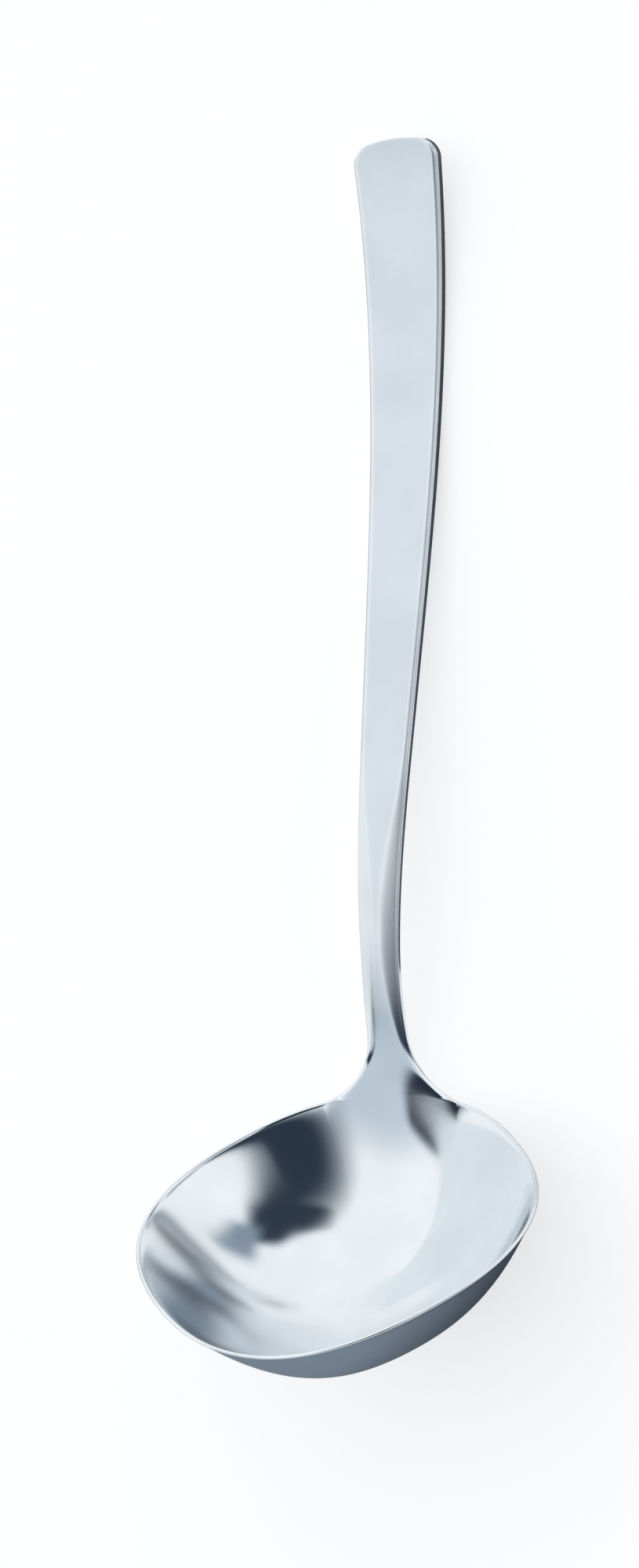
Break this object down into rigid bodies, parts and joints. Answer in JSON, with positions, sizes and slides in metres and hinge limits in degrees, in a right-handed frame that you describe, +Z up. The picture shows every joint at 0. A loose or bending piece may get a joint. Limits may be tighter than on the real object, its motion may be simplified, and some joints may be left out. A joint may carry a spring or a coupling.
{
  "type": "sauce ladle",
  "caption": "Steel sauce ladle: a round bowl with soft pouring lips at both sides, a flared neck and a long flat bevelled handle turned up at its end.",
  "frame": {"origin": "on the table, under the middle of the ladle's box, with the ladle lying on its bowl and the back of its handle", "axes": "+Y from the bowl towards the end of the handle, +X to the right lip seen with the handle away from the viewer, +Z up from the table"},
  "size_m": [0.06, 0.1884, 0.0483],
  "materials": {
    "bowl_steel": "polished inside and out, a little softer on the neck",
    "weld_steel": "ground flush and polished with the neck",
    "handle_steel": "fine satin, with polished bevels and edges"
  },
  "bodies": {
    "root": {"bowl": "bowl_steel", "neck_weld": "weld_steel", "handle": "handle_steel"}
  },
  "joints": []
}
